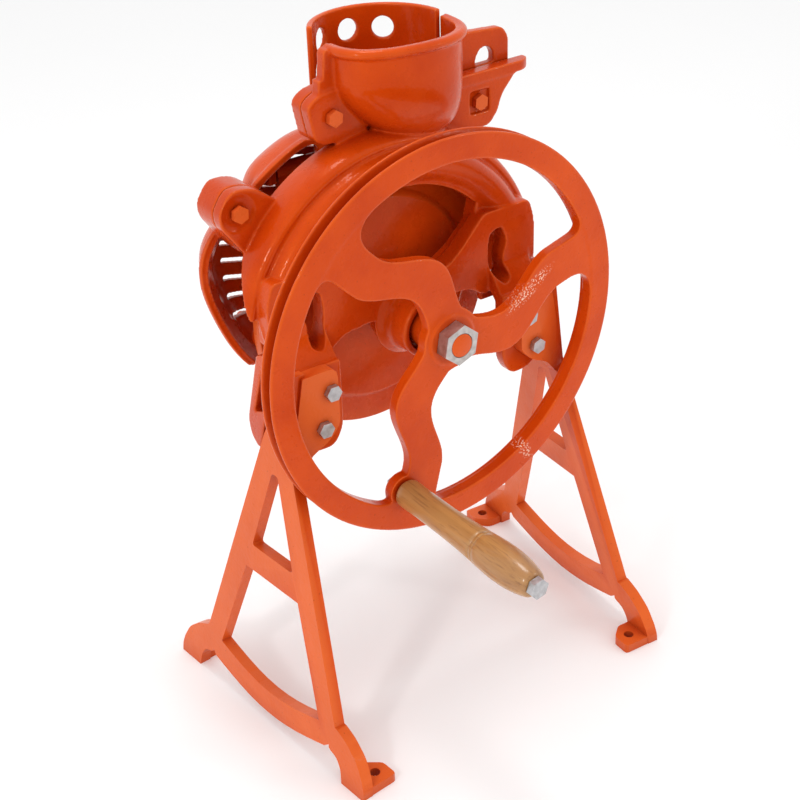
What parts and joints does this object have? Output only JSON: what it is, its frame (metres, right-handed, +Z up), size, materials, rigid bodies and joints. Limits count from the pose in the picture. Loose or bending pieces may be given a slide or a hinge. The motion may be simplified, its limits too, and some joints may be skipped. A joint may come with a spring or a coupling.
{
  "type": "corn sheller",
  "caption": "Hand-cranked cast-iron disc corn sheller on two A-shaped legs, with a top hopper, S-spoked flywheel and wooden crank handle.",
  "frame": {"origin": "floor level, midway between the two legs, below the axle", "axes": "+Z up, -Y towards the flywheel side where the operator stands, +X to the operator's right; the axle runs along Y"},
  "size_m": [0.3934, 0.4074, 0.597],
  "materials": {
    "orange_enamel": "glossy enamel over rough casting",
    "bare_steel": "zinc plated",
    "bronze": "plain",
    "varnished_wood": "clear varnish"
  },
  "bodies": {
    "stand": {"leg_left": "orange_enamel", "leg_right": "orange_enamel", "front_casting": "orange_enamel", "rear_casting": "orange_enamel", "front_bush": "bronze", "leg_bolt_left_lower": "bare_steel", "leg_bolt_left_upper": "bare_steel", "leg_bolt_right_lower": "bare_steel", "leg_bolt_right_upper": "bare_steel", "leg_nut_left_lower": "bare_steel", "leg_nut_left_upper": "bare_steel", "leg_nut_right_lower": "bare_steel", "leg_nut_right_upper": "bare_steel", "case_bolt_top_left": "orange_enamel", "case_bolt_top_right": "orange_enamel", "case_bolt_left": "orange_enamel", "case_nut_top_left": "orange_enamel", "case_nut_top_right": "orange_enamel", "case_nut_left": "orange_enamel", "pressure_pin": "bare_steel", "tension_spring": "bare_steel", "spring_seat": "bare_steel", "tension_screw": "bare_steel", "wing_nut": "bare_steel"},
    "wheel_set": {"flywheel": "orange_enamel", "axle": "bare_steel", "axle_nut": "bare_steel", "flywheel_key": "bare_steel", "rotor_disc": "orange_enamel", "rotor_pin": "bare_steel", "handle_bolt": "bare_steel", "handle_nut": "bare_steel"},
    "grip": {"handle_grip": "varnished_wood"},
    "plate": {"pressure_plate": "orange_enamel"}
  },
  "joints": [
    {"name": "crank", "type": "hinge", "parent": "stand", "child": "wheel_set", "pos_m": [0, 0, 0.354], "axis": [0, 1, 0], "continuous": true},
    {"name": "grip_spin", "type": "hinge", "parent": "wheel_set", "child": "grip", "pos_m": [-0.0532, -0.135, 0.2223], "axis": [0, 1, 0], "continuous": true},
    {"name": "plate_swing", "type": "hinge", "parent": "stand", "child": "plate", "pos_m": [0, 0.122, 0.468], "axis": [1, 0, 0], "range_deg": [0, 4], "stiffness_Nm_per_rad": 6, "springref_deg": -5.73, "deforming": ["tension_spring"]}
  ]
}
